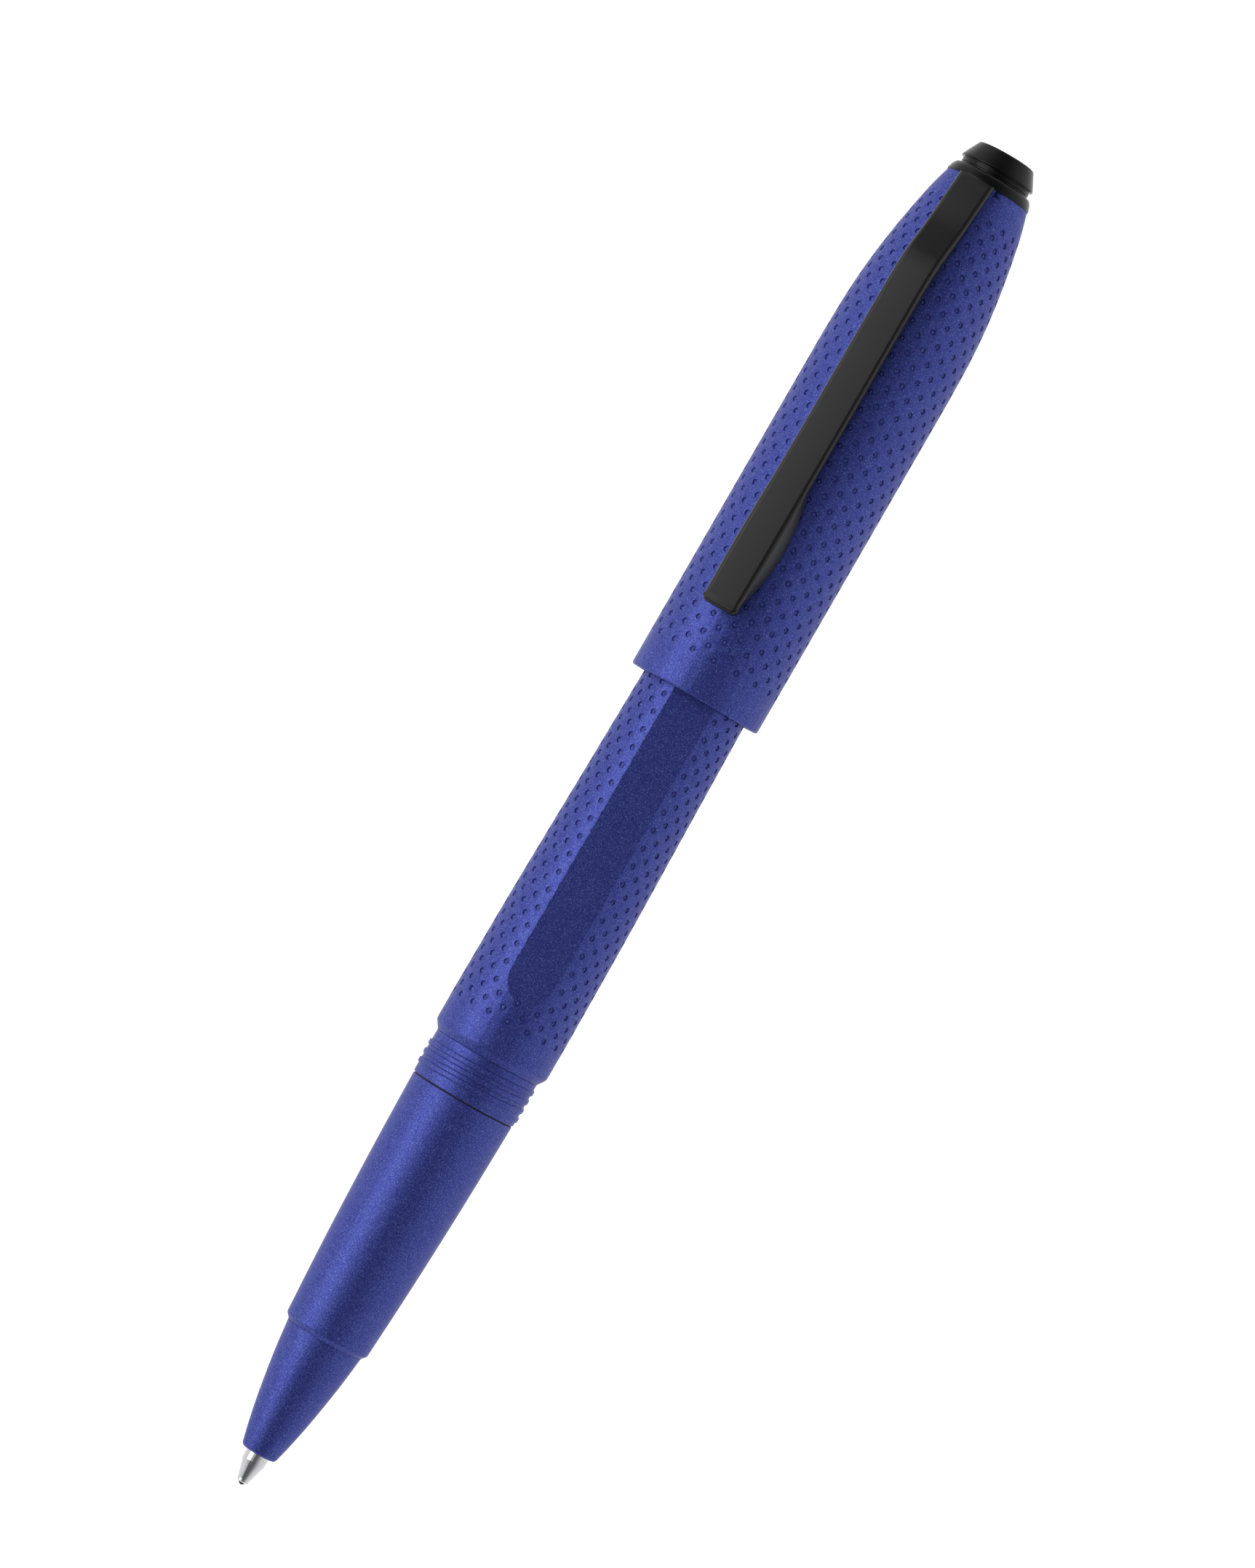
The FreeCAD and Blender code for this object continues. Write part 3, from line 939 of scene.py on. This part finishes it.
black = plain_finish("black_lacquer", (7, 7, 8), (11, 11, 12), 0.24,
                     fixed={"Specular IOR Level": 0.21})
clip_black = plain_finish("clip_lacquer", (12, 12, 13), (17, 17, 18), 0.33,
                          fixed={"Specular IOR Level": 0.37})
steel = plain_finish("turned_steel", (196, 196, 198), (216, 216, 218), 0.16, metallic=1.0,
                     grain=0.12, stretch=0.35, bump=0.002)
brass = plain_finish("brass", (196, 160, 88), (214, 180, 108), 0.28, metallic=1.0, stretch=0.4)
carbide = plain_finish("carbide", (9, 9, 10), (15, 15, 16), 0.3)
spring_steel = plain_finish("spring_steel", (168, 168, 172), (192, 192, 196), 0.24, metallic=1.0)
moulding = plain_finish("black_moulding", (24, 24, 26), (32, 32, 34), 0.5, bump=0.006)
white_plastic = plain_finish("white_plastic", (224, 224, 220), (236, 236, 232), 0.42)
tube_plastic = plain_finish("refill_plastic", (206, 210, 214), (222, 226, 230), 0.3)
ink = plain_finish("ink", (14, 20, 74), (20, 28, 92), 0.12)
grease = plain_finish("grease", (186, 190, 150), (206, 210, 172), 0.2)
felt = plain_finish("felt", (44, 50, 110), (62, 70, 132), 0.9, grain=0.06, bump=0.03)
rubber = plain_finish("rubber", (22, 22, 23), (30, 30, 31), 0.7, bump=0.01)
for piece in (collar_top, neck, button):
    piece.data.materials.clear()
    piece.data.materials.append(black)
clip.data.materials.clear()
clip.data.materials.append(clip_black)

# %% [markdown]
# ## Inside pieces
# The pieces inside the pen show when it is taken apart, so they have their own finishes too. They
# keep the meshes of the CAD model, and only their material slots change.

# %% Inside finishes
INSIDE = {
    steel: ("refill_tip",), carbide: ("refill_ball",), spring_steel: ("refill_spring",),
    brass: ("section_tenon", "barrel_bush", "cap_bush", "finial_nut"),
    moulding: ("barrel_end_plug", "inner_cap", "spring_guide"),
    white_plastic: ("refill_tip_holder", "refill_tail_plug"), tube_plastic: ("refill_tube",),
    ink: ("refill_ink",), grease: ("refill_follower",), felt: ("refill_wick",),
    rubber: ("posting_ring", "section_seal"),
}
for finish, nodes in INSIDE.items():
    for node in nodes:
        mesh = bpy.data.objects[node].data
        mesh.materials.clear()
        mesh.materials.append(finish)
print("inside pieces finished:", sum(len(nodes) for nodes in INSIDE.values()))

# %% [markdown]
# ## Floor, light and camera
# The pen hangs over a pale light table, which glows a little so that no shadow shows on it. The
# camera looks almost straight down, a little from the -Y side, with the pen turned half way to
# upright. What makes the blue glow on one side is a long soft box to the left of the lens, and a
# dark band of ceiling along the pen keeps its middle deep.

# %% Directions
LEAN = math.radians(16.0)       # the camera's lean from straight above, towards -Y
ROLL = math.radians(30.0)       # the pen's slant from upright in the picture
towards = Vector((0, -math.sin(LEAN), math.cos(LEAN)))          # from the pen to the camera
beside = Vector((0, -math.cos(LEAN), -math.sin(LEAN)))          # to the right of an upright pen
image_up = math.cos(ROLL) * AXIS - math.sin(ROLL) * beside
image_right = math.sin(ROLL) * AXIS + math.cos(ROLL) * beside


def face_along(thing, right, up, back, place):
    """Put a camera or lamp at a place, looking along -back, with its own right and up."""
    for row in range(3):
        for column, way in enumerate((right, up, back, place)):
            thing.matrix_world[row][column] = way[row]


# %% Floor
let_go()
bpy.ops.mesh.primitive_plane_add(size=8.0, location=(0, 0, -0.12))
floor = bpy.context.object
floor.name = "floor"
settle(floor)
floor.data.materials.append(plain_finish("pale_floor", (248, 248, 248), (252, 252, 252), 0.8,
                                         grain=30.0, fixed={"Emission Color": (1, 1, 1, 1),
                                                            "Emission Strength": 0.42}))


# %% Lamps
def soft_box(name, degrees, distance, across, power, along=1.2):
    """A long soft box beside the pen: degrees from the lens, positive to the right."""
    angle = math.radians(degrees)
    away = math.cos(angle) * towards + math.sin(angle) * beside
    sideways = away.cross(AXIS)
    let_go()
    bpy.ops.object.light_add(type="AREA")
    lamp = bpy.context.object
    lamp.name = name
    lamp.data.shape = "RECTANGLE"
    lamp.data.size = along
    lamp.data.size_y = across
    lamp.data.energy = power
    face_along(lamp, AXIS, -sideways, away, away * distance)
    return lamp


key = soft_box("left_box", -52, 0.9, 0.62, 3.7)
wing = soft_box("left_wing", -22, 0.9, 0.34, 0.45)
for lamp in (key, wing):
    print(lamp.name, "at", [round(v, 2) for v in lamp.matrix_world.translation])

# %% World
world = bpy.data.worlds.new("studio")
bpy.context.scene.world = world
world.use_nodes = True
world.node_tree.nodes.clear()
sky = Signal(world.node_tree)
gaze = sky.node("ShaderNodeTexCoord", output="Generated")
sideways = sky.node("ShaderNodeVectorMath", {"operation": "DOT_PRODUCT"},
                    {0: gaze, 1: tuple(beside)}, output="Value")
upwards = sky.node("ShaderNodeVectorMath", {"operation": "DOT_PRODUCT"},
                   {0: gaze, 1: tuple(towards)}, output="Value")
shade = (1.0 - sideways * sideways).between(0.12, 0.96) * upwards.between(0.1, 0.45)
tone = shade.blend((1.0, 1.0, 1.0, 1.0), (0.15, 0.15, 0.16, 1.0))
back = sky.node("ShaderNodeBackground", None, {"Color": tone, "Strength": 1.0})
sky.node("ShaderNodeOutputWorld", None, {"Surface": back})
bpy.context.scene.view_settings.view_transform = "Standard"
print("world dark in a band over the pen, along its axis")

# %% Camera
DISTANCE = 0.67
SENSOR = 36.0
VIEW_HEIGHT = 0.1532            # metres of the scene that fill the picture's height
AIM_STATION, AIM_LEFT = 78.15, 1.464
let_go()
bpy.ops.object.camera_add()
camera = bpy.context.object
camera.data.sensor_fit = "VERTICAL"
camera.data.sensor_height = SENSOR
camera.data.lens = SENSOR * DISTANCE / VIEW_HEIGHT
camera.data.clip_end = 20.0
aim = spot(AIM_STATION) - AIM_LEFT * MM * beside
face_along(camera, image_right, image_up, towards, aim + DISTANCE * towards)
bpy.context.scene.camera = camera
print("lens", round(camera.data.lens, 1), "mm at", DISTANCE, "m")
